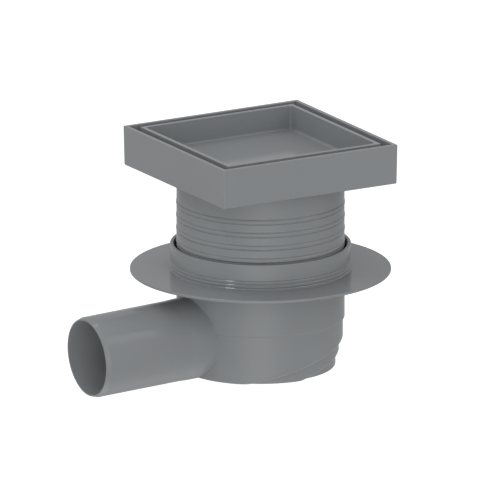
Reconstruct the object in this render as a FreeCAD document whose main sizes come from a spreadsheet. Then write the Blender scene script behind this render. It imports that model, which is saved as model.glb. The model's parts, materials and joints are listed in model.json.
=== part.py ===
"""Floor gully with a DN50 side outlet, a height-adjustable riser and a recessed cover for a 100 mm tile.

The origin is the centre of the body's base, +Z points up and the outlet runs towards -X. Sizes are in
millimetres and degrees.
"""
import FreeCAD, Part
import math
import os
import re
import Sketcher

# Driving sizes. Each has a name, a value and what it measures.
SIZES = [
    ("body_wall", 2.2, "wall of the body"),
    ("body_floor", 2.3, "thickness of the body's base"),
    ("step_level", 30.5, "height of the small step round the body"),
    ("step_inset", 1.05, "depth of that step"),
    ("tier_slope", 13.7, "slope of the two undercut tiers, rising away from the outlet"),
    ("tier_one_level", 7.4, "height of the upper tier's underside on the axis"),
    ("tier_two_drop", 8.2, "drop from the upper tier's underside to the lower one's"),
    ("tier_one_shelf", 2.5, "width of the upper tier's shelf"),
    ("tier_two_shelf", 2.1, "width of the lower tier's shelf"),
    ("tier_round", 1.6, "rounding of the tiers' lower edges"),
    ("base_round", 1.0, "rounding of the base edge"),
    ("step_round", 0.4, "rounding of the step's edge"),
    ("flange_diameter", 160.0, "sealing flange"),
    ("flange_thickness", 1.6, "sealing flange"),
    ("flange_round", 0.4, "rounding of the flange's edges"),
    ("flange_level", 61.2, "height of the flange's upper face"),
    ("collar_gap", 1.45, "between the riser's beads and the collar's bore"),
    ("collar_wall", 2.5, "wall of the collar at the flange"),
    ("collar_taper", 0.3, "how much thinner the collar's wall is at its rim"),
    ("collar_height", 15.9, "collar above the flange"),
    ("collar_round", 0.5, "rounding of the collar's rim"),
    ("collar_lines", 3, "fine grooves round the foot of the collar"),
    ("collar_line_start", 1.1, "lowest fine groove above the flange"),
    ("collar_line_pitch", 2.2, "from one fine groove to the next"),
    ("collar_line_width", 1.2, "width of a fine groove"),
    ("collar_line_depth", 0.45, "depth of a fine groove"),
    ("spigot_diameter", 50.0, "outside of the outlet"),
    ("spigot_wall", 1.8, "wall of the outlet"),
    ("spigot_reach", 122.5, "mouth of the outlet from the body's axis"),
    ("spigot_fall", 2.5, "fall of the outlet"),
    ("socket_depth", 60.0, "end of the outlet that goes into a pipe's socket"),
    ("socket_stop", 0.3, "how much thicker the outlet's root is, where the socket stops"),
    ("root_lead", 6.0, "length over which the outlet thickens to its root"),
    ("mouth_lead", 3.0, "length of the bevel at the outlet's mouth"),
    ("mouth_bevel", 0.95, "depth of the bevel at the outlet's mouth"),
    ("seal_cover", 1.8, "collar above the seal's groove"),
    ("seal_groove_height", 7.8, "height of the seal's groove"),
    ("seal_groove_depth", 0.75, "depth of the seal's groove"),
    ("seal_clearance", 0.1, "between the seal and its groove"),
    ("seal_back", 1.15, "thickness of the seal's ring behind its lips"),
    ("seal_lips", 3, "lips on the seal"),
    ("seal_lip_width", 1.8, "height of a lip at its root"),
    ("lip_clearance", 0.15, "between the lips and the riser's beads"),
    ("riser_diameter", 103.0, "outside of the riser"),
    ("riser_wall", 2.0, "wall of the riser"),
    ("riser_length", 58.9, "riser below the square frame"),
    ("riser_bevel", 0.6, "bevel at the riser's lower end"),
    ("riser_ledge", 0.15, "how far the body's wall stands in past the riser's bore"),
    ("bead_count", 5, "ring beads round the riser"),
    ("bead_start", 17.05, "middle of the highest bead below the frame"),
    ("bead_pitch", 8.15, "from one bead to the next"),
    ("bead_height", 2.3, "height of a bead"),
    ("bead_proud", 0.25, "how far a bead stands out"),
    ("bead_shoulder", 0.5, "height of a bead's sloped edges"),
    ("bead_line_width", 0.7, "width of the fine groove at each edge of a bead"),
    ("bead_line_depth", 0.35, "depth of that groove"),
    ("tile_side", 100.0, "tile that the tray carries"),
    ("tile_joint", 1.4, "joint between the tile and the tray"),
    ("frame_gap", 4.9, "gap for the water between the tray and the frame's rim"),
    ("frame_height", 24.7, "square frame"),
    ("frame_draft", 1.0, "inward slope of the frame's outer faces"),
    ("frame_wall", 2.6, "wall of the frame at its rim"),
    ("frame_floor", 2.5, "floor of the frame"),
    ("frame_round", 0.4, "rounding of the frame's outer edges and rim"),
    ("tray_height", 17.6, "tile tray without its feet"),
    ("tray_wall", 2.6, "wall of the tile tray"),
    ("tray_floor", 2.6, "floor of the tile tray"),
    ("tray_corner", 2.2, "rounding of the tray's inside corners"),
    ("tray_outer_corner", 0.6, "rounding of the tray's outside corners"),
    ("tray_rim_round", 0.35, "rounding of the tray's rim"),
    ("tray_floor_round", 1.4, "rounding where the tray's floor meets its walls"),
    ("foot_height", 4.6, "feet that leave the water a way under the tray"),
    ("foot_side", 9.0, "side of a foot"),
    ("foot_inset", 4.0, "from the tray's side to a foot"),
    ("guide_depth", 6.0, "how far the tray's guide reaches down past its feet"),
    ("guide_wall", 1.8, "wall of the guide"),
    ("guide_clearance", 0.3, "between the guide and the riser"),
    ("guide_slot", 56.0, "width of the openings in the guide"),
    ("seat_rise", 1.3, "ledge for the trap insert above the top of the outlet's bore"),
    ("seat_width", 2.4, "width of that ledge"),
    ("seat_thickness", 1.5, "edge of that ledge"),
    ("insert_clearance", 0.25, "between the trap insert and the body"),
    ("plate_thickness", 2.0, "trap insert's plate"),
    ("plate_fall", 1.5, "fall of the plate's upper face to the dip tube"),
    ("plate_rim_height", 6.5, "upright rim round the plate"),
    ("plate_rim_wall", 3.9, "thickness of that rim"),
    ("ring_cord", 2.6, "thickness of the O-ring"),
    ("ring_level", 3.25, "middle of the O-ring above the plate's underside"),
    ("ring_clearance", 0.05, "between the O-ring and what it lies against"),
    ("tube_diameter", 40.0, "dip tube"),
    ("tube_wall", 1.6, "dip tube"),
    ("grip_height", 13.0, "lifting bridge above the plate"),
    ("grip_bar", 3.0, "thickness of the lifting bridge"),
    ("cup_diameter", 72.0, "trap cup"),
    ("cup_gap", 3.7, "between the trap cup and the body's base"),
    ("overflow_height", 5.0, "between the cup's rim and the trap insert's plate"),
    ("cup_wall", 1.8, "trap cup"),
    ("cup_round", 4.0, "rounding of the cup's base edge"),
    ("rib_count", 3, "ribs that hold the cup on the dip tube"),
    ("rib_thickness", 2.0, "one rib"),
    ("rib_foot_height", 9.0, "height of the ribs' feet under the dip tube's end"),
    ("rib_foot_reach", 4.0, "how far a foot reaches in under the dip tube"),
    ("rib_clearance", 0.1, "between a rib and the dip tube"),
]

# Places and radii worked out from the driving sizes.
DERIVED = [
    ("riser_radius", "riser_diameter / 2"),
    ("riser_bore_radius", "riser_radius - riser_wall"),
    ("bead_radius", "riser_radius + bead_proud"),
    ("bead_top", "riser_length - bead_start + bead_height / 2"),
    ("bead_foot", "bead_top - bead_height"),
    ("body_bore_radius", "riser_bore_radius - riser_ledge"),
    ("body_radius", "body_bore_radius + body_wall"),
    ("tier_one_radius", "body_radius - step_inset"),
    ("tier_two_radius", "tier_one_radius - tier_one_shelf"),
    ("tier_three_radius", "tier_two_radius - tier_two_shelf"),
    ("tier_two_level", "tier_one_level - tier_two_drop"),
    ("tier_wall_rise", "body_wall / cos(tier_slope * 1 deg)"),
    ("flange_underside", "flange_level - flange_thickness"),
    ("rim_level", "flange_level + collar_height"),
    ("collar_bore_radius", "bead_radius + collar_gap"),
    ("collar_base_radius", "collar_bore_radius + collar_wall"),
    ("collar_rim_radius", "collar_base_radius - collar_taper"),
    ("spigot_radius", "spigot_diameter / 2"),
    ("spigot_bore_radius", "spigot_radius - spigot_wall"),
    ("spigot_axis_level", "body_floor + spigot_bore_radius"),
    ("spigot_length", "spigot_reach / cos(spigot_fall * 1 deg)"),
    ("root_length", "spigot_length - socket_depth"),
    ("root_radius", "spigot_radius + socket_stop"),
    ("seal_groove_radius", "collar_bore_radius + seal_groove_depth"),
    ("seal_groove_top", "rim_level - seal_cover"),
    ("seal_level", "seal_groove_top - seal_groove_height"),
    ("seal_height", "seal_groove_height - 2 * seal_clearance"),
    ("seal_radius", "seal_groove_radius - seal_clearance"),
    ("seal_inner_radius", "seal_radius - seal_back"),
    ("lip_radius", "bead_radius + lip_clearance"),
    ("tray_recess_side", "tile_side + 2 * tile_joint"),
    ("tray_side", "tray_recess_side + 2 * tray_wall"),
    ("tray_top", "foot_height + tray_height"),
    ("guide_radius", "riser_bore_radius - guide_clearance"),
    ("frame_inside_side", "tray_side + 2 * frame_gap"),
    ("frame_side", "frame_inside_side + 2 * frame_wall"),
    ("frame_underside_side", "frame_side - 2 * frame_height * tan(frame_draft * 1 deg)"),
    ("frame_top", "riser_length + frame_height"),
    ("seat_level", "spigot_axis_level + spigot_bore_radius + seat_rise"),
    ("seat_radius", "body_bore_radius - seat_width"),
    ("plate_radius", "body_bore_radius - insert_clearance"),
    ("plate_inner_radius", "plate_radius - plate_rim_wall"),
    ("ring_radius", "body_bore_radius - ring_clearance - ring_cord / 2"),
    ("ring_groove_radius", "ring_radius - ring_cord / 2 - ring_clearance"),
    ("ring_groove_half", "ring_cord / 2 + ring_clearance"),
    ("tube_radius", "tube_diameter / 2"),
    ("tube_bore_radius", "tube_radius - tube_wall"),
    ("grip_half_span", "tube_radius + grip_bar"),
    ("cup_radius", "cup_diameter / 2"),
    ("cup_level", "body_floor + cup_gap"),
    ("cup_height", "seat_level - overflow_height - cup_level"),
    ("tube_length", "seat_level - cup_level - rib_foot_height"),
    ("rib_inner_radius", "tube_radius + rib_clearance"),
]

NAMES = {row[0] for row in SIZES + DERIVED}
TOLERANCE = 1e-4


def formula(text):
    """Write a formula of plain names as one of cells of the sheet."""
    def cell(match):
        name = match.group()
        return "Sizes." + name if name in NAMES else name

    return re.sub(r"[a-z]\w*", cell, text)


def bind(thing, place, text):
    thing.setExpression(place, formula(text))


def value(thing, text):
    """The number that a formula gives with the sizes as they stand, worked out in a cell of its own."""
    scratch = thing.Document.Scratch
    scratch.set("A1", "=" + formula(text))
    scratch.recompute()
    return float(scratch.get("A1"))


def write_sizes(doc):
    """Put the driving sizes and what follows from them in one sheet, each under its own name."""
    sheet = doc.addObject("Spreadsheet::Sheet", "Sizes")
    rows = [(name, str(number), meaning) for name, number, meaning in SIZES]
    rows += [(name, "=" + text, "worked out") for name, text in DERIVED]
    for row, (name, content, meaning) in enumerate(rows, start=1):
        sheet.set(f"A{row}", name)
        sheet.setAlias(f"B{row}", name)
        sheet.set(f"C{row}", meaning)
    for row, (name, content, meaning) in enumerate(rows, start=1):
        sheet.set(f"B{row}", content)
    doc.addObject("Spreadsheet::Sheet", "Scratch")
    doc.recompute()


def new_body(doc, label, level="0"):
    """A piece that is modelled from its own lowest seat, placed at that seat's height in the gully."""
    body = doc.addObject("PartDesign::Body", label)
    body.Label = label
    bind(body, "Placement.Base.z", level)
    return body


def new_sketch(body, name, plane, level="0", tilt=None, about=(1, 0, 0)):
    """An empty sketch on one of the body's planes, raised by level and, if asked, tilted about an axis."""
    sketch = body.newObject("Sketcher::SketchObject", name)
    support = [item for item in body.Origin.OriginFeatures if item.Role == plane][0]
    sketch.AttachmentSupport = (support, [""])
    sketch.MapMode = "FlatFace"
    if tilt:
        turn = FreeCAD.Rotation(FreeCAD.Vector(*about), 1)
        sketch.AttachmentOffset = FreeCAD.Placement(FreeCAD.Vector(), turn)
        bind(sketch, "AttachmentOffset.Rotation.Angle", tilt)
    up = "AttachmentOffset.Base.z" if plane == "XY_Plane" else "AttachmentOffset.Base.y"
    bind(sketch, up, level)
    return sketch


def pin_point(sketch, geometry, end, across, up):
    """Hold one end of a line at two formulas, measured from the sketch's origin."""
    for kind, axis, text in (("DistanceX", -2, across), ("DistanceY", -1, up)):
        if text == "0":
            sketch.addConstraint(Sketcher.Constraint("PointOnObject", geometry, end, axis))
            continue
        index = sketch.addConstraint(Sketcher.Constraint(kind, -1, 1, geometry, end, value(sketch, text)))
        sketch.renameConstraint(index, f"{kind}_{geometry}")
        bind(sketch, f"Constraints.{kind}_{geometry}", text)


def draw_outline(sketch, points):
    """Add a closed outline of straight lines through points given as pairs of formulas."""
    spots = [FreeCAD.Vector(value(sketch, across), value(sketch, up), 0) for across, up in points]
    first = sketch.GeometryCount
    for index, spot in enumerate(spots):
        following = spots[(index + 1) % len(spots)]
        sketch.addGeometry(Part.LineSegment(spot, following), False)
    for index, (across, up) in enumerate(points):
        following = first + (index + 1) % len(points)
        sketch.addConstraint(Sketcher.Constraint("Coincident", first + index, 2, following, 1))
        pin_point(sketch, first + index, 1, across, up)


def draw_circle(sketch, radius):
    circle = Part.Circle(FreeCAD.Vector(), FreeCAD.Vector(0, 0, 1), value(sketch, radius))
    geometry = sketch.addGeometry(circle, False)
    sketch.addConstraint(Sketcher.Constraint("Coincident", geometry, 3, -1, 1))
    index = sketch.addConstraint(Sketcher.Constraint("Radius", geometry, value(sketch, radius)))
    sketch.renameConstraint(index, f"radius_{geometry}")
    bind(sketch, f"Constraints.radius_{geometry}", radius)


def rectangle(left, right, low, high):
    return [(left, low), (right, low), (right, high), (left, high)]


def centred_square(side):
    half = f"({side}) / 2"
    return rectangle(f"-{half}", half, f"-{half}", half)


def turned(body, name, points, cut=False, sketch=None, axis="V_Axis"):
    """Turn an outline about its sketch's axis, the upright one unless told, to add or cut away material."""
    sketch = sketch or new_sketch(body, name + "_outline", "XZ_Plane")
    draw_outline(sketch, points)
    feature = body.newObject("PartDesign::Groove" if cut else "PartDesign::Revolution", name)
    feature.Profile = sketch
    feature.ReferenceAxis = (sketch, [axis])
    feature.Angle = 360
    body.Document.recompute()
    return feature


def extruded(body, name, sketch, length, cut=False, reverse=False, midplane=False):
    """Push a sketch out along its normal, or against it, to add material or to cut it away."""
    feature = body.newObject("PartDesign::Pocket" if cut else "PartDesign::Pad", name)
    feature.Profile = sketch
    feature.Midplane = midplane
    feature.Reversed = reverse
    bind(feature, "Length", length)
    body.Document.recompute()
    return feature


def near(one, other):
    return abs(one - other) < TOLERANCE


def edges_where(shape, test):
    """Names of the edges whose every sampled point passes a test."""
    names = []
    for number, edge in enumerate(shape.Edges, start=1):
        if all(test(spot) for spot in edge.discretize(Number=7)):
            names.append(f"Edge{number}")
    return names


def round_edges(shape, radius, level, slope=0.0):
    """Edges where an upright cylinder meets a plane that rises along X by slope."""
    return edges_where(shape, lambda spot: near(math.hypot(spot.x, spot.y), radius)
                       and near(spot.z, level + slope * spot.x))


def corner_edges(shape, least_half, most_half):
    """Edges that run up the corners of a centred square whose half side lies between two sizes."""
    return edges_where(shape, lambda spot: near(abs(spot.x), abs(spot.y))
                       and least_half - TOLERANCE < abs(spot.x) < most_half + TOLERANCE)


def square_edges(shape, half_side, level):
    """The level edges of a centred square."""
    return edges_where(shape, lambda spot: near(max(abs(spot.x), abs(spot.y)), half_side)
                       and near(spot.z, level))


def rounded(body, name, base, names, radius):
    feature = body.newObject("PartDesign::Fillet", name)
    feature.Base = (base, names)
    bind(feature, "Radius", radius)
    body.Document.recompute()
    return feature


def patterned_up(body, name, originals, count, pitch, down=False):
    """Repeat features along the upright axis."""
    upright = [item for item in body.Origin.OriginFeatures if item.Role == "Z_Axis"][0]
    feature = body.newObject("PartDesign::LinearPattern", name)
    feature.Originals = originals
    feature.Direction = (upright, [""])
    feature.Reversed = down
    feature.Mode = "Spacing"
    bind(feature, "Offset", pitch)
    bind(feature, "Occurrences", count)
    body.Tip = feature
    body.Document.recompute()
    return feature


def patterned_round(body, name, originals, count):
    """Repeat features evenly round the upright axis."""
    upright = [item for item in body.Origin.OriginFeatures if item.Role == "Z_Axis"][0]
    feature = body.newObject("PartDesign::PolarPattern", name)
    feature.Originals = originals
    feature.Axis = (upright, [""])
    feature.Angle = 360
    bind(feature, "Occurrences", count)
    body.Tip = feature
    body.Document.recompute()
    return feature


def add_tier(body, name, radius, level):
    """Add a round tier that hangs from the step and ends at a plane rising away from the outlet."""
    flat = [item for item in body.Origin.OriginFeatures if item.Role == "XY_Plane"][0]
    underside = body.newObject("PartDesign::Plane", name + "_underside")
    underside.AttachmentSupport = (flat, [""])
    underside.MapMode = "FlatFace"
    turn = FreeCAD.Rotation(FreeCAD.Vector(0, -1, 0), 1)
    underside.AttachmentOffset = FreeCAD.Placement(FreeCAD.Vector(), turn)
    bind(underside, "AttachmentOffset.Rotation.Angle", "tier_slope")
    bind(underside, "AttachmentOffset.Base.z", level)
    disc = new_sketch(body, name + "_disc", "XY_Plane", "step_level")
    draw_circle(disc, radius)
    tier = body.newObject("PartDesign::Pad", name)
    tier.Profile = disc
    tier.Type = "UpToFace"
    tier.UpToFace = (underside, [""])
    tier.Reversed = True
    body.Document.recompute()
    return tier


def cut_below(body, name, level):
    """Cut away what the sloping tiers leave under a level."""
    disc = new_sketch(body, name + "_disc", "XY_Plane", level)
    draw_circle(disc, "flange_diameter / 2")
    return extruded(body, name, disc, "flange_diameter", cut=True)


def make_inner_space(doc):
    """The hollow of the gully body: sump, trap insert's ledge, riser's ledge and collar bore."""
    space = new_body(doc, "inner_space")
    sump = "tier_three_radius - body_wall"
    turned(space, "hollow", [
        ("0", "body_floor"),
        (sump, "body_floor"),
        (sump, "step_level"),
        ("body_bore_radius", "step_level"),
        ("body_bore_radius", "seat_level - seat_thickness - seat_width"),
        ("seat_radius", "seat_level - seat_thickness"),
        ("seat_radius", "seat_level"),
        ("body_bore_radius", "seat_level"),
        ("body_bore_radius", "flange_level"),
        ("collar_bore_radius", "flange_level"),
        ("collar_bore_radius", "seal_level"),
        ("seal_groove_radius", "seal_level"),
        ("seal_groove_radius", "seal_groove_top"),
        ("collar_bore_radius", "seal_groove_top"),
        ("collar_bore_radius", "rim_level"),
        ("0", "rim_level"),
    ])
    add_tier(space, "lower_tier", "tier_two_radius - body_wall", "tier_two_level + tier_wall_rise")
    add_tier(space, "upper_tier", "tier_one_radius - body_wall", "tier_one_level + tier_wall_rise")
    cut_below(space, "floor_cut", "body_floor")
    return space


def mouth_edges(body, shape, radius):
    """The round edge of the outlet's mouth."""
    fall = math.radians(value(body, "spigot_fall"))
    along = FreeCAD.Vector(-math.cos(fall), 0, -math.sin(fall))
    start = FreeCAD.Vector(0, 0, value(body, "spigot_axis_level"))
    length = value(body, "spigot_length")

    def on_mouth(spot):
        reach = (spot - start).dot(along)
        return near(reach, length) and near((spot - start - along * reach).Length, radius)

    return edges_where(shape, on_mouth)


def make_gully_body(doc):
    """Flanged cup with its collar and outlet, moulded in one: stepped sump, sealing flange and spigot."""
    body = new_body(doc, "gully_body")
    shell = turned(body, "shell", [
        ("0", "0"),
        ("tier_three_radius", "0"),
        ("tier_three_radius", "step_level"),
        ("body_radius", "step_level"),
        ("body_radius", "flange_underside"),
        ("flange_diameter / 2", "flange_underside"),
        ("flange_diameter / 2", "flange_level"),
        ("collar_base_radius", "flange_level"),
        ("collar_rim_radius", "rim_level"),
        ("0", "rim_level"),
    ])
    base_edge = round_edges(shell.Shape, value(body, "tier_three_radius"), 0)
    rounded(body, "base_edge_round", shell, base_edge, "base_round")
    add_tier(body, "lower_tier", "tier_two_radius", "tier_two_level")
    add_tier(body, "upper_tier", "tier_one_radius", "tier_one_level")
    cut_below(body, "base_cut", "0")

    along = new_sketch(body, "spigot_outline", "XZ_Plane", "spigot_axis_level", "spigot_fall",
                       about=(0, 0, 1))
    turned(body, "spigot", [
        ("0", "0"),
        ("-spigot_length", "0"),
        ("-spigot_length", "spigot_radius"),
        ("-root_length", "spigot_radius"),
        ("-root_length + root_lead", "root_radius"),
        ("0", "root_radius"),
    ], sketch=along, axis="H_Axis")
    hollow = body.newObject("PartDesign::Boolean", "hollowed")
    hollow.Type = "Cut"
    hollow.Group = [make_inner_space(doc)]
    doc.recompute()
    bore_circle = new_sketch(body, "bore_circle", "YZ_Plane", "spigot_axis_level", "-spigot_fall")
    draw_circle(bore_circle, "spigot_bore_radius")
    bore = extruded(body, "bore", bore_circle, "spigot_length", cut=True)

    mouth = body.newObject("PartDesign::Chamfer", "mouth_chamfer")
    mouth.Base = (bore, mouth_edges(body, bore.Shape, value(body, "spigot_radius")))
    mouth.ChamferType = "Two distances"
    bind(mouth, "Size", "mouth_lead")
    bind(mouth, "Size2", "mouth_bevel")
    doc.recompute()

    height = "flange_level + collar_line_start"
    line = turned(body, "collar_line", [
        ("collar_base_radius - collar_line_depth", height),
        ("collar_base_radius + collar_line_depth", f"{height} - collar_line_width"),
        ("collar_base_radius + collar_line_depth", f"{height} + collar_line_width"),
    ], cut=True)
    finished = patterned_up(body, "collar_line_set", [line], "collar_lines", "collar_line_pitch")

    slope = math.tan(math.radians(value(body, "tier_slope")))
    for name, radius, level, rise, size in (
        ("tier_one_round", "tier_one_radius", "tier_one_level", slope, "tier_round"),
        ("tier_two_round", "tier_two_radius", "tier_two_level", slope, "tier_round"),
        ("step_edge_round", "body_radius", "step_level", 0, "step_round"),
        ("flange_lower_round", "flange_diameter / 2", "flange_underside", 0, "flange_round"),
        ("flange_upper_round", "flange_diameter / 2", "flange_level", 0, "flange_round"),
        ("rim_outer_round", "collar_rim_radius", "rim_level", 0, "collar_round"),
        ("rim_inner_round", "collar_bore_radius", "rim_level", 0, "collar_round"),
    ):
        edges = round_edges(finished.Shape, value(body, radius), value(body, level), rise)
        finished = rounded(body, name, finished, edges, size)
    return body


def make_lip_seal(doc):
    """Rubber ring in the collar's groove, with lips that wipe the riser."""
    body = new_body(doc, "lip_seal", "seal_level + seal_clearance")
    inside = []
    for lip in range(int(value(body, "seal_lips"))):
        middle = f"seal_height * {lip + 0.5} / seal_lips"
        inside.append(("seal_inner_radius", f"{middle} - seal_lip_width / 2"))
        inside.append(("lip_radius", middle))
        inside.append(("seal_inner_radius", f"{middle} + seal_lip_width / 2"))
    outline = [("seal_radius", "0"), ("seal_inner_radius", "0")] + inside
    outline += [("seal_inner_radius", "seal_height"), ("seal_radius", "seal_height")]
    turned(body, "ring", outline)
    return body


def make_top_frame(doc):
    """Square frame and riser, moulded in one; the riser's end stands on the ledge at the flange."""
    body = new_body(doc, "top_frame", "flange_level")
    base = new_sketch(body, "frame_square", "XY_Plane", "riser_length")
    draw_outline(base, centred_square("frame_underside_side"))
    frame = extruded(body, "frame", base, "frame_height")
    bind(frame, "TaperAngle", "frame_draft")
    turned(body, "riser", rectangle("0", "riser_radius", "0", "riser_length + frame_floor / 2"))
    inside = new_sketch(body, "frame_inside_square", "XY_Plane", "frame_top")
    draw_outline(inside, centred_square("frame_inside_side"))
    extruded(body, "frame_inside", inside, "frame_height - frame_floor", cut=True)
    throat = turned(body, "throat", rectangle("0", "riser_bore_radius", "0", "frame_top"), cut=True)

    lead = body.newObject("PartDesign::Chamfer", "riser_end_bevel")
    lead.Base = (throat, round_edges(throat.Shape, value(body, "riser_radius"), 0))
    bind(lead, "Size", "riser_bevel")
    doc.recompute()

    bead = turned(body, "bead", [
        ("riser_radius - riser_wall / 2", "bead_foot"),
        ("riser_radius", "bead_foot"),
        ("bead_radius", "bead_foot + bead_shoulder"),
        ("bead_radius", "bead_top - bead_shoulder"),
        ("riser_radius", "bead_top"),
        ("riser_radius - riser_wall / 2", "bead_top"),
    ])
    lines = []
    for name, level in (("upper_line", "bead_top + bead_line_width / 2"),
                        ("lower_line", "bead_foot - bead_line_width / 2")):
        lines.append(turned(body, name, [
            ("riser_radius - bead_line_depth", level),
            ("riser_radius + bead_line_depth", f"{level} - bead_line_width"),
            ("riser_radius + bead_line_depth", f"{level} + bead_line_width"),
        ], cut=True))
    beaded = patterned_up(body, "bead_set", [bead] + lines, "bead_count", "bead_pitch", down=True)

    inner_half, outer_half = value(body, "frame_inside_side / 2"), value(body, "frame_side / 2")
    underside_half = value(body, "frame_underside_side / 2")
    top, bottom = value(body, "frame_top"), value(body, "riser_length")
    edges = corner_edges(beaded.Shape, underside_half, outer_half)
    edges += square_edges(beaded.Shape, outer_half, top) + square_edges(beaded.Shape, inner_half, top)
    edges += square_edges(beaded.Shape, underside_half, bottom)
    rounded(body, "frame_edge_rounds", beaded, edges, "frame_round")
    return body


def make_tile_tray(doc):
    """Loose tray for a tile, standing on four feet, with a slotted guide that keeps it central."""
    body = new_body(doc, "tile_tray", "flange_level + riser_length + frame_floor")
    outside = new_sketch(body, "tray_square", "XY_Plane", "foot_height")
    draw_outline(outside, centred_square("tray_side"))
    block = extruded(body, "tray_block", outside, "tray_height")
    outer_half, inner_half = value(body, "tray_side / 2"), value(body, "tray_recess_side / 2")
    corners = corner_edges(block.Shape, outer_half, outer_half)
    rounded(body, "tray_outer_corners", block, corners, "tray_outer_corner")

    recess_square = new_sketch(body, "recess_square", "XY_Plane", "tray_top")
    draw_outline(recess_square, centred_square("tray_recess_side"))
    recess = extruded(body, "recess", recess_square, "tray_height - tray_floor", cut=True)
    corners = corner_edges(recess.Shape, inner_half, inner_half)
    cornered = rounded(body, "recess_corners", recess, corners, "tray_corner")
    for name, level, size in (("recess_floor_round", "foot_height + tray_floor", "tray_floor_round"),
                              ("tray_rim_rounds", "tray_top", "tray_rim_round")):
        height = value(body, level)
        edges = edges_where(cornered.Shape, lambda spot: near(spot.z, height))
        cornered = rounded(body, name, cornered, edges, size)

    guide_top = "foot_height + tray_floor / 2"
    turned(body, "guide", rectangle("guide_radius - guide_wall", "guide_radius", "-guide_depth", guide_top))
    for name, plane in (("slot_across", "XZ_Plane"), ("slot_along", "YZ_Plane")):
        slot = new_sketch(body, name + "_outline", plane)
        half = "guide_slot / 2"
        draw_outline(slot, rectangle(f"-{half}", half, "-2 * guide_depth", "foot_height"))
        extruded(body, name, slot, "3 * guide_radius", cut=True, midplane=True)

    foot = new_sketch(body, "foot_squares", "XY_Plane")
    outer = "tray_side / 2 - foot_inset"
    inner = "tray_side / 2 - foot_inset - foot_side"
    for left, right in ((f"-({outer})", f"-({inner})"), (inner, outer)):
        for low, high in ((f"-({outer})", f"-({inner})"), (inner, outer)):
            draw_outline(foot, rectangle(left, right, low, high))
    extruded(body, "feet", foot, "foot_height + tray_floor / 2")
    return body


def make_trap_funnel(doc):
    """Removable plate with a dip tube, an upright rim grooved for the O-ring, and a lifting bridge."""
    body = new_body(doc, "trap_funnel", "seat_level")
    plate_edge = "plate_thickness + plate_fall"
    turned(body, "plate", [
        ("tube_bore_radius", "-tube_length"),
        ("tube_radius", "-tube_length"),
        ("tube_radius", "0"),
        ("plate_radius", "0"),
        ("plate_radius", "ring_level - ring_groove_half"),
        ("ring_groove_radius", "ring_level - ring_groove_half"),
        ("ring_groove_radius", "ring_level + ring_groove_half"),
        ("plate_radius", "ring_level + ring_groove_half"),
        ("plate_radius", "plate_rim_height"),
        ("plate_inner_radius", "plate_rim_height"),
        ("plate_inner_radius", plate_edge),
        ("tube_bore_radius", "plate_thickness"),
    ])
    bridge = new_sketch(body, "bridge_outline", "XZ_Plane")
    outer = "grip_half_span"
    inner = "(grip_half_span - grip_bar)"
    root = "plate_thickness / 2"
    top = "plate_thickness + grip_height"
    shoulder = f"{top} - 2 * grip_bar"
    draw_outline(bridge, [
        (f"-{outer}", root),
        (f"-{inner}", root),
        (f"-{inner}", shoulder),
        (f"-({inner} - grip_bar)", f"{top} - grip_bar"),
        (f"{inner} - grip_bar", f"{top} - grip_bar"),
        (inner, shoulder),
        (inner, root),
        (outer, root),
        (outer, shoulder),
        (f"{outer} - 2 * grip_bar", top),
        (f"-({outer} - 2 * grip_bar)", top),
        (f"-{outer}", shoulder),
    ])
    extruded(body, "bridge", bridge, "2 * grip_bar", midplane=True)
    return body


def make_trap_o_ring(doc):
    """O-ring between the trap insert's rim and the body."""
    ring = doc.addObject("Part::Torus", "trap_o_ring")
    ring.Label = "trap_o_ring"
    bind(ring, "Radius1", "ring_radius")
    bind(ring, "Radius2", "ring_cord / 2")
    bind(ring, "Placement.Base.z", "seat_level + ring_level")
    return ring


def make_trap_cup(doc):
    """Cup that keeps the water seal, clipped on the dip tube by three ribs."""
    body = new_body(doc, "trap_cup", "cup_level")
    pot = turned(body, "pot", rectangle("0", "cup_radius", "0", "cup_height"))
    rounded(body, "pot_round", pot, round_edges(pot.Shape, value(body, "cup_radius"), 0), "cup_round")
    turned(body, "well", rectangle("0", "cup_radius - cup_wall", "cup_wall", "cup_height"), cut=True)
    rib_outline = new_sketch(body, "rib_outline", "XZ_Plane")
    root = "cup_radius - cup_wall / 2"
    draw_outline(rib_outline, [
        ("rib_inner_radius - rib_foot_reach", "cup_wall / 2"),
        (root, "cup_wall / 2"),
        (root, "cup_height"),
        ("rib_inner_radius", "cup_height"),
        ("rib_inner_radius", "rib_foot_height"),
        ("rib_inner_radius - rib_foot_reach", "rib_foot_height"),
    ])
    rib = extruded(body, "rib", rib_outline, "rib_thickness", midplane=True)
    patterned_round(body, "ribs", [rib], "rib_count")
    return body


def check_document(doc):
    """Stop with a plain message where any object of the document has failed."""
    for item in doc.Objects:
        faults = [state for state in item.State if state in ("Invalid", "Error")]
        if faults:
            raise RuntimeError(f"{item.Name}: {faults}")


def main():
    doc = FreeCAD.newDocument("floor_gully")
    write_sizes(doc)
    makers = [make_gully_body, make_lip_seal, make_top_frame, make_tile_tray, make_trap_funnel,
              make_trap_o_ring, make_trap_cup]
    pieces = [maker(doc) for maker in makers]
    doc.recompute()
    check_document(doc)
    os.makedirs("parts", exist_ok=True)
    for piece in pieces:
        shape = piece.Shape
        if shape.isNull() or not shape.isValid() or len(shape.Solids) != 1:
            raise RuntimeError(f"{piece.Label}: not one valid solid")
        shape.exportStep(f"parts/{piece.Label}.step")
        print(f"{piece.Label}: {shape.Volume:.0f} mm3, {shape.BoundBox}")


main()
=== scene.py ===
"""A floor gully of grey plastic with its outlet, lip seal, water trap, riser, square frame and tile tray."""
import json
import math

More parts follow.
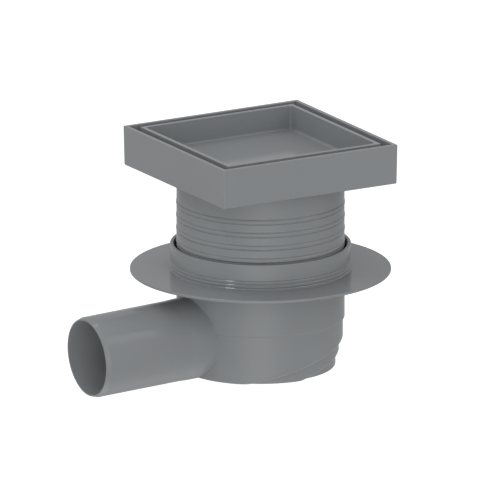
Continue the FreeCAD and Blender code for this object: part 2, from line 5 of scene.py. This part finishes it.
import bpy
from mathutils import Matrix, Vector


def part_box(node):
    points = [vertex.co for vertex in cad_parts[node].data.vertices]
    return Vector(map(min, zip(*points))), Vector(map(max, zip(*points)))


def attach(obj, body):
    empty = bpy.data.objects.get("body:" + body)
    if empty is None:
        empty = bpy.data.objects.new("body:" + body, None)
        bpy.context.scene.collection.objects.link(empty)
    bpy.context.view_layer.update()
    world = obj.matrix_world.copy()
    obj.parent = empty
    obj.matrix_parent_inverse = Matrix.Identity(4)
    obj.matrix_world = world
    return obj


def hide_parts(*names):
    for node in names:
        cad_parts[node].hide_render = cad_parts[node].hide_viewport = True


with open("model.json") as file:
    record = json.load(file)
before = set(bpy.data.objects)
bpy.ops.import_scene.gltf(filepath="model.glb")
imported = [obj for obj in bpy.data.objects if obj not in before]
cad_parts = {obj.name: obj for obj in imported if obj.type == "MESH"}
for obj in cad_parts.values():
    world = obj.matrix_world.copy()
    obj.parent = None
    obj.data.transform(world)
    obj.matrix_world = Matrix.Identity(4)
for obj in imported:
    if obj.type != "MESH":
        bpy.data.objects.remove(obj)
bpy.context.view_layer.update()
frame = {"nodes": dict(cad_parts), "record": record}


# Gully body
# The lowest piece, shot in one from mid-grey polypropylene: a stepped cup with a falling outlet, a sealing
# flange and the collar that holds the riser. The mould is polished, so the skin is smooth and glossy, with
# faint waves from cooling, a witness line where the halves met and the prints of the ejector pins.

class Amount:
    """One output in a node tree. Sums and products on it add the Math nodes that they need."""

    def __init__(self, tree, socket):
        self.tree = tree
        self.socket = socket

    def worked(self, operation, *values):
        return self.tree.node("ShaderNodeMath", {"operation": operation}, dict(enumerate(values)))

    def __add__(self, other):
        return self.worked("ADD", self, other)

    def __sub__(self, other):
        return self.worked("SUBTRACT", self, other)

    def __rsub__(self, other):
        return self.worked("SUBTRACT", other, self)

    def __mul__(self, other):
        return self.worked("MULTIPLY", self, other)

    def __truediv__(self, other):
        return self.worked("DIVIDE", self, other)

    def __pow__(self, other):
        return self.worked("POWER", self, other)

    def __lt__(self, other):
        return self.worked("LESS_THAN", self, other)

    def __gt__(self, other):
        return self.worked("GREATER_THAN", self, other)

    def __abs__(self):
        return self.worked("ABSOLUTE", self)

    def at_least(self, other):
        return self.worked("MAXIMUM", self, other)

    __radd__ = __add__
    __rmul__ = __mul__


class Tree:
    """A node tree that is built up one node at a time."""

    def __init__(self, tree):
        self.tree = tree
        self.tree.nodes.clear()

    def node(self, kind, settings, sockets, output=0):
        """Add a node, make its settings, then give its sockets their values or links."""
        made = self.tree.nodes.new(kind)
        for name, setting in settings.items():
            setattr(made, name, setting)
        for place, value in sockets.items():
            if isinstance(value, Amount):
                self.tree.links.new(value.socket, made.inputs[place])
            else:
                made.inputs[place].default_value = value
        return Amount(self, made.outputs[output]) if made.outputs else None

    def parts(self, spot):
        """The three parts of a place: along X, along Y and along Z."""
        return [self.node("ShaderNodeSeparateXYZ", {}, {0: spot}, axis) for axis in range(3)]


class Finish(Tree):
    """A surface finish, with the place on the piece as its starting point."""

    def __init__(self, name):
        self.material = bpy.data.materials.new(name)
        self.material.use_nodes = True
        super().__init__(self.material.node_tree)
        self.spot = self.node("ShaderNodeTexCoord", {}, {}, "Object")
        self.x, self.y, self.z = self.parts(self.spot)

    def reach(self):
        """How far a place is from the riser's axis."""
        return (self.x * self.x + self.y * self.y) ** 0.5

    def noise(self, per_metre, detail, stretch=(1, 1, 1), shift=(0, 0, 0)):
        """Soft random cover from 0 to 1, so many spots to the metre, times the stretch along each axis."""
        place = self.node("ShaderNodeMapping", {}, {"Vector": self.spot, "Scale": stretch, "Location": shift})
        return self.node("ShaderNodeTexNoise", {}, {
            "Vector": place, "Scale": per_metre, "Detail": detail}, "Fac")

    def between(self, one, other, share):
        """A colour that goes from one to the other as the share goes from 0 to 1."""
        one, other = [shade if isinstance(shade, Amount) else (*shade, 1) for shade in (one, other)]
        return self.node("ShaderNodeMix", {"data_type": "RGBA"}, {0: share, 6: one, 7: other}, 2)

    def skin(self, strength, height):
        """The surface's fine relief, a few hundredths of a millimetre deep."""
        return self.node("ShaderNodeBump", {}, {
            "Strength": strength, "Distance": 0.00004, "Height": height}, "Normal")

    def coat(self, **sockets):
        """Close the tree with the finished surface."""
        named = {name.replace("_", " "): value for name, value in sockets.items()}
        surface = self.node("ShaderNodeBsdfPrincipled", {}, named)
        self.node("ShaderNodeOutputMaterial", {}, {"Surface": surface})
        return self.material


def hairline(distance, width):
    """1 on a line, falling to 0 at its half width on either side."""
    return (1 - abs(distance) / (width / 2)).at_least(0)


def pin_prints(finish, count, ring_radius, print_radius, face_level):
    """The round prints of ejector pins, evenly spaced on a circle, on the flat face at one level."""
    rim_width, face_depth = 0.0005, 0.0003
    turn = finish.y.worked("ARCTAN2", finish.y, finish.x) * (count / math.tau)
    aside = (turn - turn.worked("ROUND", turn)) * (math.tau / count)
    reach = finish.reach()
    across = reach * aside.worked("SINE", aside)
    along = reach * aside.worked("COSINE", aside) - ring_radius
    from_rim = (across * across + along * along) ** 0.5 - print_radius
    return hairline(from_rim, rim_width) * (abs(finish.z - face_level) < face_depth)


def moulded_plastic(name, shot, gloss, marks=None, painted_highlight_edges=None, painted_lift=1.0):
    """Glossy mid-grey plastic with slow clouds and flow streaks in the pigment, fine grain and a little peel.

    Each shot has its own clouds and streaks. A painted lift above 1 makes the colour a touch paler, to stand
    in for more light.
    """
    finish = Finish(name)
    dark = [painted_lift * part for part in (0.282, 0.295, 0.306)]
    light = [painted_lift * part for part in (0.312, 0.326, 0.338)]
    painted_highlight = (0.430, 0.445, 0.457)
    shift = (0.37 * shot, 0.61 * shot, 0.23 * shot)
    cloud = finish.noise(per_metre=26, detail=3, shift=shift)
    streak = finish.noise(per_metre=90, detail=2, stretch=(1, 1, 0.1), shift=shift)
    peel = finish.noise(per_metre=520, detail=1, shift=shift)
    grain = finish.noise(per_metre=2600, detail=2)
    scuff = finish.noise(per_metre=60, detail=5, stretch=(1, 1, 3), shift=shift) > 0.66
    share = 0.5 * cloud + 0.25 * streak + 0.25 * grain
    height = 0.75 * peel + 0.25 * grain
    if marks:
        relief = marks(finish)
        share = share + 0.4 * relief
        height = height + relief
    shade = finish.between(dark, light, share)
    # Painted highlight: where the mask is set, the colour is mixed towards a pale grey that stands for light
    # catching a rounded edge.
    if painted_highlight_edges:
        shade = finish.between(shade, painted_highlight, painted_highlight_edges(finish))
    return finish.coat(
        Base_Color=shade,
        Roughness=gloss + 0.05 * cloud + 0.03 * streak + 0.02 * grain + 0.03 * scuff,
        IOR=1.49,
        Specular_IOR_Level=0.32,
        Normal=finish.skin(0.3, height),
    )


def dress(node_name, material):
    """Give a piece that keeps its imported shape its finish."""
    for slot in frame["nodes"][node_name].material_slots:
        slot.material = material


level = {mount["name"]: mount["pos_m"][2] for mount in frame["record"]["mounts"]}
witness_width = 0.0003


def body_marks(finish):
    """Witness line in the plane through the outlet, gate and pins on the base, pins under the flange."""
    flange_thickness, gate_radius, gate_width, gate_depth = 0.0016, 0.0035, 0.0006, 0.0003
    flange_underside = level["flange"] - flange_thickness
    witness = hairline(finish.y, witness_width) * (finish.z < flange_underside)
    gate = hairline(finish.reach() - gate_radius, gate_width) * (finish.z < level["base"] + gate_depth)
    base_pins = pin_prints(finish, 6, ring_radius=0.0300, print_radius=0.0030, face_level=level["base"])
    flange_pins = pin_prints(finish, 12, ring_radius=0.0660, print_radius=0.0025, face_level=flange_underside)
    return witness + gate - 2 * base_pins - 2 * flange_pins


def painted_edge_highlights(finish):
    """Painted highlights where light catches the edges of the small step and of the two sloping tiers, fading
    out towards the outlet.
    """
    body_reach, step_level, upper_tier_level, lower_tier_level = 0.0525, 0.0305, 0.0074, -0.0008
    step_width, tier_width, tier_slope = 0.0022, 0.0030, math.radians(13.7)
    over_slope = finish.z - finish.x * math.tan(tier_slope)
    step = hairline(finish.z - step_level, step_width)
    upper_tier = hairline(over_slope - upper_tier_level, tier_width)
    lower_tier = hairline(over_slope - lower_tier_level, tier_width)
    away = (finish.x / 0.06 + 0.4).at_least(0)
    return (0.8 * step + upper_tier + lower_tier) * away * (finish.reach() < body_reach)


# The body's step and tier edges get a painted highlight.
body_plastic = moulded_plastic("body_plastic", shot=0, gloss=0.05, marks=body_marks, painted_highlight_edges=painted_edge_highlights)
dress("gully_body", body_plastic)


# Lip seal
# A ring of soft black rubber in the groove of the collar. Its three lips wipe the riser and keep water and
# gas in. It is pressed in a hot mould, so every edge is round, and the lips lean a little downwards.

class Former(Tree):
    """A node tree that forms a piece from named sizes."""

    def __init__(self, name, sizes):
        self.group = bpy.data.node_groups.new(name, "GeometryNodeTree")
        super().__init__(self.group)
        self.sizes = sizes
        for size in sizes:
            self.group.interface.new_socket(size, in_out="INPUT", socket_type="NodeSocketFloat")
        self.group.interface.new_socket("Geometry", in_out="OUTPUT", socket_type="NodeSocketGeometry")
        self.entry = self.tree.nodes.new("NodeGroupInput")

    def size(self, name):
        return Amount(self, self.entry.outputs[name])

    def formed(self, name, shape, material):
        """Close the tree, work the shape out with the sizes and keep it as a plain mesh."""
        smooth = self.node("GeometryNodeSetShadeSmooth", {}, {"Geometry": shape, "Shade Smooth": True})
        real = self.node("GeometryNodeRealizeInstances", {}, {0: smooth})
        covered = self.node("GeometryNodeSetMaterial", {}, {"Geometry": real, "Material": material})
        self.node("NodeGroupOutput", {}, {0: covered})
        blank = bpy.data.objects.new(name + "_form", bpy.data.meshes.new(name + "_form"))
        bpy.context.scene.collection.objects.link(blank)
        modifier = blank.modifiers.new("form", "NODES")
        modifier.node_group = self.group
        for item in self.group.interface.items_tree:
            if item.in_out == "INPUT":
                modifier[item.identifier] = self.sizes[item.name]
        seen = blank.evaluated_get(bpy.context.evaluated_depsgraph_get())
        mesh = bpy.data.meshes.new_from_object(seen)
        mesh.name = name
        blank.modifiers.clear()
        bpy.data.objects.remove(blank)
        piece = bpy.data.objects.new(name, mesh)
        bpy.context.scene.collection.objects.link(piece)
        return piece


def black_rubber(name, parting_level):
    """Matt black rubber with a grey bloom, fine pores and the mould's witness line at one level."""
    finish = Finish(name)
    bloom = finish.noise(per_metre=110, detail=4)
    pores = finish.noise(per_metre=3000, detail=2)
    height = 0.6 * pores + hairline(finish.z - parting_level, 0.0002)
    return finish.coat(
        Base_Color=finish.between((0.011, 0.011, 0.012), (0.030, 0.030, 0.031), bloom ** 2),
        Roughness=0.48 + 0.25 * bloom,
        IOR=1.52,
        Normal=finish.skin(0.4, height),
    )


ring_steps = 144
seal_low, seal_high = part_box("lip_seal")
seal = Former("lip_seal_form", {
    "Outer radius": seal_high[0],
    "Ring thickness": 0.00115,
    "Ring height": seal_high[2] - seal_low[2],
    "Ring level": seal_low[2],
    "Edge round": 0.00035,
    "Lip count": 3,
    "Lip reach": 0.00080,
    "Lip height": 0.0019,
    "Lip lean": 0.00025,
})
section = seal.node("GeometryNodeCurvePrimitiveQuadrilateral", {}, {
    "Width": seal.size("Ring thickness"), "Height": seal.size("Ring height")})
section = seal.node("GeometryNodeFilletCurve", {"mode": "POLY"}, {
    "Curve": section, "Radius": seal.size("Edge round"), "Limit Radius": True, "Count": 4})
section = seal.node("GeometryNodeResampleCurve", {}, {"Curve": section, "Count": 132})
middle = seal.size("Outer radius") - seal.size("Ring thickness") * 0.5
path = seal.node("GeometryNodeCurvePrimitiveCircle", {}, {"Resolution": ring_steps, "Radius": middle})
ring = seal.node("GeometryNodeCurveToMesh", {}, {"Curve": path, "Profile Curve": section})
ring_x, ring_y, ring_z = seal.parts(seal.node("GeometryNodeInputPosition", {}, {}))
ring_reach = (ring_x * ring_x + ring_y * ring_y) ** 0.5
half_height = seal.size("Ring height") * 0.5
lip_pitch = seal.size("Ring height") / seal.size("Lip count")
lip_place = (ring_z + half_height) / lip_pitch
from_lip = (lip_place - lip_place.worked("FLOOR", lip_place) - 0.5) * lip_pitch / seal.size("Lip height")
lip = (abs(from_lip) < 0.5) * abs(from_lip).worked("COSINE", abs(from_lip) * math.pi).at_least(0) ** 1.5
inside = ring_reach < (middle - seal.size("Ring thickness") * 0.45)
drawn_in = 1 - inside * lip * seal.size("Lip reach") / ring_reach
leaned = ring_z + seal.size("Ring level") + half_height - inside * lip * seal.size("Lip lean")
placed = seal.node("ShaderNodeCombineXYZ", {}, {0: ring_x * drawn_in, 1: ring_y * drawn_in, 2: leaned})
ring = seal.node("GeometryNodeSetPosition", {}, {"Geometry": ring, "Position": placed})
seal_rubber = black_rubber("seal_rubber", (seal_low[2] + seal_high[2]) / 2)
lip_seal = seal.formed("rubber_lip_seal", ring, seal_rubber)
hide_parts("lip_seal")
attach(lip_seal, "seal")


# Trap cup
# The pot that always stays full and so keeps sewer gas out. It is moulded in the same grey plastic, a little
# duller from its plainer mould, and clips on the dip tube by three ribs.

def cup_marks(finish):
    """The pins that pushed the pot out of its mould, under its base."""
    cup_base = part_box("trap_cup")[0][2]
    return -2 * pin_prints(finish, 3, ring_radius=0.0220, print_radius=0.0025, face_level=cup_base)


dress("trap_cup", moulded_plastic("cup_plastic", shot=3, gloss=0.14, marks=cup_marks))


# Trap insert
# The sloping plate with its dip tube and the bridge to lift it by, moulded in the same grey plastic. It is
# dropped on a ledge in the body.

def insert_marks(finish):
    """Witness line over the bridge and pins under the plate."""
    bridge_height, plate_thickness = 0.0152, 0.0032
    bridge_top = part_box("trap_funnel")[1][2]
    plate_underside = bridge_top - bridge_height
    witness = hairline(finish.y, witness_width) * (finish.z > plate_underside + plate_thickness)
    pins = pin_prints(finish, 4, ring_radius=0.0380, print_radius=0.0020, face_level=plate_underside)
    return witness - 2 * pins


dress("trap_funnel", moulded_plastic("insert_plastic", shot=5, gloss=0.12, marks=insert_marks))


# O-ring
# A ring of round black rubber cord in the groove of the insert's rim, which closes the gap to the body's
# wall. It is moulded in two halves, which leaves a thin flash inside and outside at half height.

cord_low, cord_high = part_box("trap_o_ring")
cord_level = (cord_low[2] + cord_high[2]) / 2
cord_half = (cord_high[2] - cord_low[2]) / 2
flash_reach = 0.00003
cord = Former("o_ring_form", {
    "Ring radius": cord_high[0] - cord_half,
    "Cord radius": cord_half - flash_reach,
    "Ring level": cord_level,
    "Flash height": 0.00016,
    "Flash reach": flash_reach,
})
path = cord.node("GeometryNodeCurvePrimitiveCircle", {}, {
    "Resolution": ring_steps, "Radius": cord.size("Ring radius")})
round_cord = cord.node("GeometryNodeCurvePrimitiveCircle", {}, {
    "Resolution": 40, "Radius": cord.size("Cord radius")})
ring = cord.node("GeometryNodeCurveToMesh", {}, {"Curve": path, "Profile Curve": round_cord})
cord_spot = cord.node("GeometryNodeInputPosition", {}, {})
cord_z = cord.node("ShaderNodeSeparateXYZ", {}, {0: cord_spot}, 2)
outwards = cord.node("GeometryNodeInputNormal", {}, {})
flash = (abs(cord_z) < cord.size("Flash height")) * cord.size("Flash reach")
proud = cord.node("ShaderNodeVectorMath", {"operation": "SCALE"}, {0: outwards, "Scale": flash})
raised = cord.node("ShaderNodeCombineXYZ", {}, {2: cord.size("Ring level")})
moved = cord.node("ShaderNodeVectorMath", {"operation": "ADD"}, {0: proud, 1: raised})
ring = cord.node("GeometryNodeSetPosition", {}, {"Geometry": ring, "Offset": moved})
o_ring = cord.formed("rubber_o_ring", ring, black_rubber("o_ring_rubber", cord_level))
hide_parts("trap_o_ring")
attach(o_ring, "gully")


# Riser and square frame
# One moulding of the same plastic: the riser slides and turns in the collar, with ring beads to cut it off
# by, and carries the frame that is set level with the floor. Its mould is as well polished as the body's.

def frame_marks(finish):
    """The pins under the square frame."""
    frame_height = 0.0247
    frame_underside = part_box("top_frame")[1][2] - frame_height
    return -2 * pin_prints(finish, 8, ring_radius=0.0545, print_radius=0.0020, face_level=frame_underside)


dress("top_frame", moulded_plastic("frame_plastic", shot=8, gloss=0.05, marks=frame_marks))


# Tile tray
# A loose shallow tray that a tile is bonded into. It stands in the frame on four feet, and the water runs in
# through the gap round it. Same grey plastic, painted a touch paler to stand in for more light on its inner
# walls.

def tray_marks(finish):
    """The pins under the tray's floor."""
    tray_floor = 0.0026
    tray_underside = level["tile_bed"] - tray_floor
    return -2 * pin_prints(finish, 8, ring_radius=0.0400, print_radius=0.0030, face_level=tray_underside)


# The whole tray is painted a touch paler, standing in for more light on its inner walls.
dress("tile_tray", moulded_plastic("tray_plastic", shot=11, gloss=0.06, marks=tray_marks, painted_lift=1.04))


# Floor, light and camera
# A white sheet without a visible edge or shadow, and a soft white tent, brightest in front and below, with
# three soft boxes high up: left of the camera, behind on the left, and on the right. Past the sheet the
# camera sees plain white. It looks down at about 15 degrees, without perspective.

TURN, LIFT = math.radians(-30), math.radians(15.1)
MIDDLE = Vector((0.0, 0.0, 0.0720))
PIXEL = 0.000612
right = Vector((math.cos(TURN), math.sin(TURN), 0))
front = Vector((math.sin(TURN), -math.cos(TURN), 0))
up = Vector((0, 0, 1))

sheet_reach = 4
sheet_level = -0.0049
sheet = bpy.data.meshes.new("white_sheet")
corners = [(x * sheet_reach, y * sheet_reach, sheet_level) for x, y in ((-1, -1), (1, -1), (1, 1), (-1, 1))]
sheet.from_pydata(corners, [], [(0, 1, 2, 3)])
floor = bpy.data.objects.new("white_sheet", sheet)
bpy.context.scene.collection.objects.link(floor)
sheet.materials.append(Finish("white_paper").coat(
    Base_Color=(0.35, 0.35, 0.35, 1),
    Roughness=0.9,
    Specular_IOR_Level=0.0,
    Emission_Color=(1, 1, 1, 1),
    Emission_Strength=1.0,
))
for ray in ("visible_diffuse", "visible_glossy", "visible_shadow"):
    setattr(floor, ray, False)

tent = bpy.data.worlds.new("light_tent")
tent.use_nodes = True
cloth = Tree(tent.node_tree)
look = cloth.node("ShaderNodeTexCoord", {}, {}, "Generated")


def wall_glow(side, strength, focus):
    """The light from one wall of the tent, strongest straight towards it; a higher focus gathers it there."""
    facing = cloth.node("ShaderNodeVectorMath", {"operation": "DOT_PRODUCT"}, {0: look, 1: side}, "Value")
    return strength * facing.at_least(0) ** focus


side_walls = wall_glow(right, 0.51, 2) + wall_glow(-right, 0.53, 2) + wall_glow(-front, 0.46, 2)
roof_and_floor = wall_glow(up, 0.55, 2) + wall_glow(-up, 1.55, 6)
glow = side_walls + roof_and_floor + wall_glow(front, 1.85, 6)
seen = cloth.node("ShaderNodeLightPath", {}, {}, "Is Camera Ray")
background = cloth.node("ShaderNodeBackground", {}, {
    "Color": (1, 1, 1, 1), "Strength": glow * (1 - seen) + seen})
cloth.node("ShaderNodeOutputWorld", {}, {"Surface": background})
bpy.context.scene.world = tent
bpy.context.scene.view_settings.view_transform = "Standard"


def aim(thing, turn, lift, distance, centre):
    """Put a lamp or the camera at a turn and a lift round a centre, looking at it."""
    away = (right * math.sin(turn) + front * math.cos(turn)) * math.cos(lift) + up * math.sin(lift)
    thing.location = centre + away * distance
    thing.rotation_mode = "QUATERNION"
    thing.rotation_quaternion = away.to_track_quat("Z", "Y")
    bpy.context.scene.collection.objects.link(thing)


box_distance = 1.6
for name, turn, lift, width, height, watts in (
    ("key_box", -55, 53, 0.36, 0.12, 1.5),
    ("rear_box", -110, 65, 0.60, 0.60, 3.1),
    ("fill_box", 80, 40, 0.90, 0.90, 1.9),
):
    soft_box = bpy.data.lights.new(name, "AREA")
    soft_box.shape = "RECTANGLE"
    soft_box.size, soft_box.size_y = width, height
    soft_box.energy = watts
    aim(bpy.data.objects.new(name, soft_box), math.radians(turn), math.radians(lift), box_distance, MIDDLE)

picture_width = 500
left_of_middle = 10.5
camera_distance = 1.2
lens = bpy.data.cameras.new("camera")
lens.type = "ORTHO"
lens.ortho_scale = picture_width * PIXEL
lens.clip_start, lens.clip_end = 0.05, 8.0
camera = bpy.data.objects.new("camera", lens)
aim(camera, 0.0, LIFT, camera_distance, MIDDLE - right * (left_of_middle * PIXEL))
bpy.context.scene.camera = camera
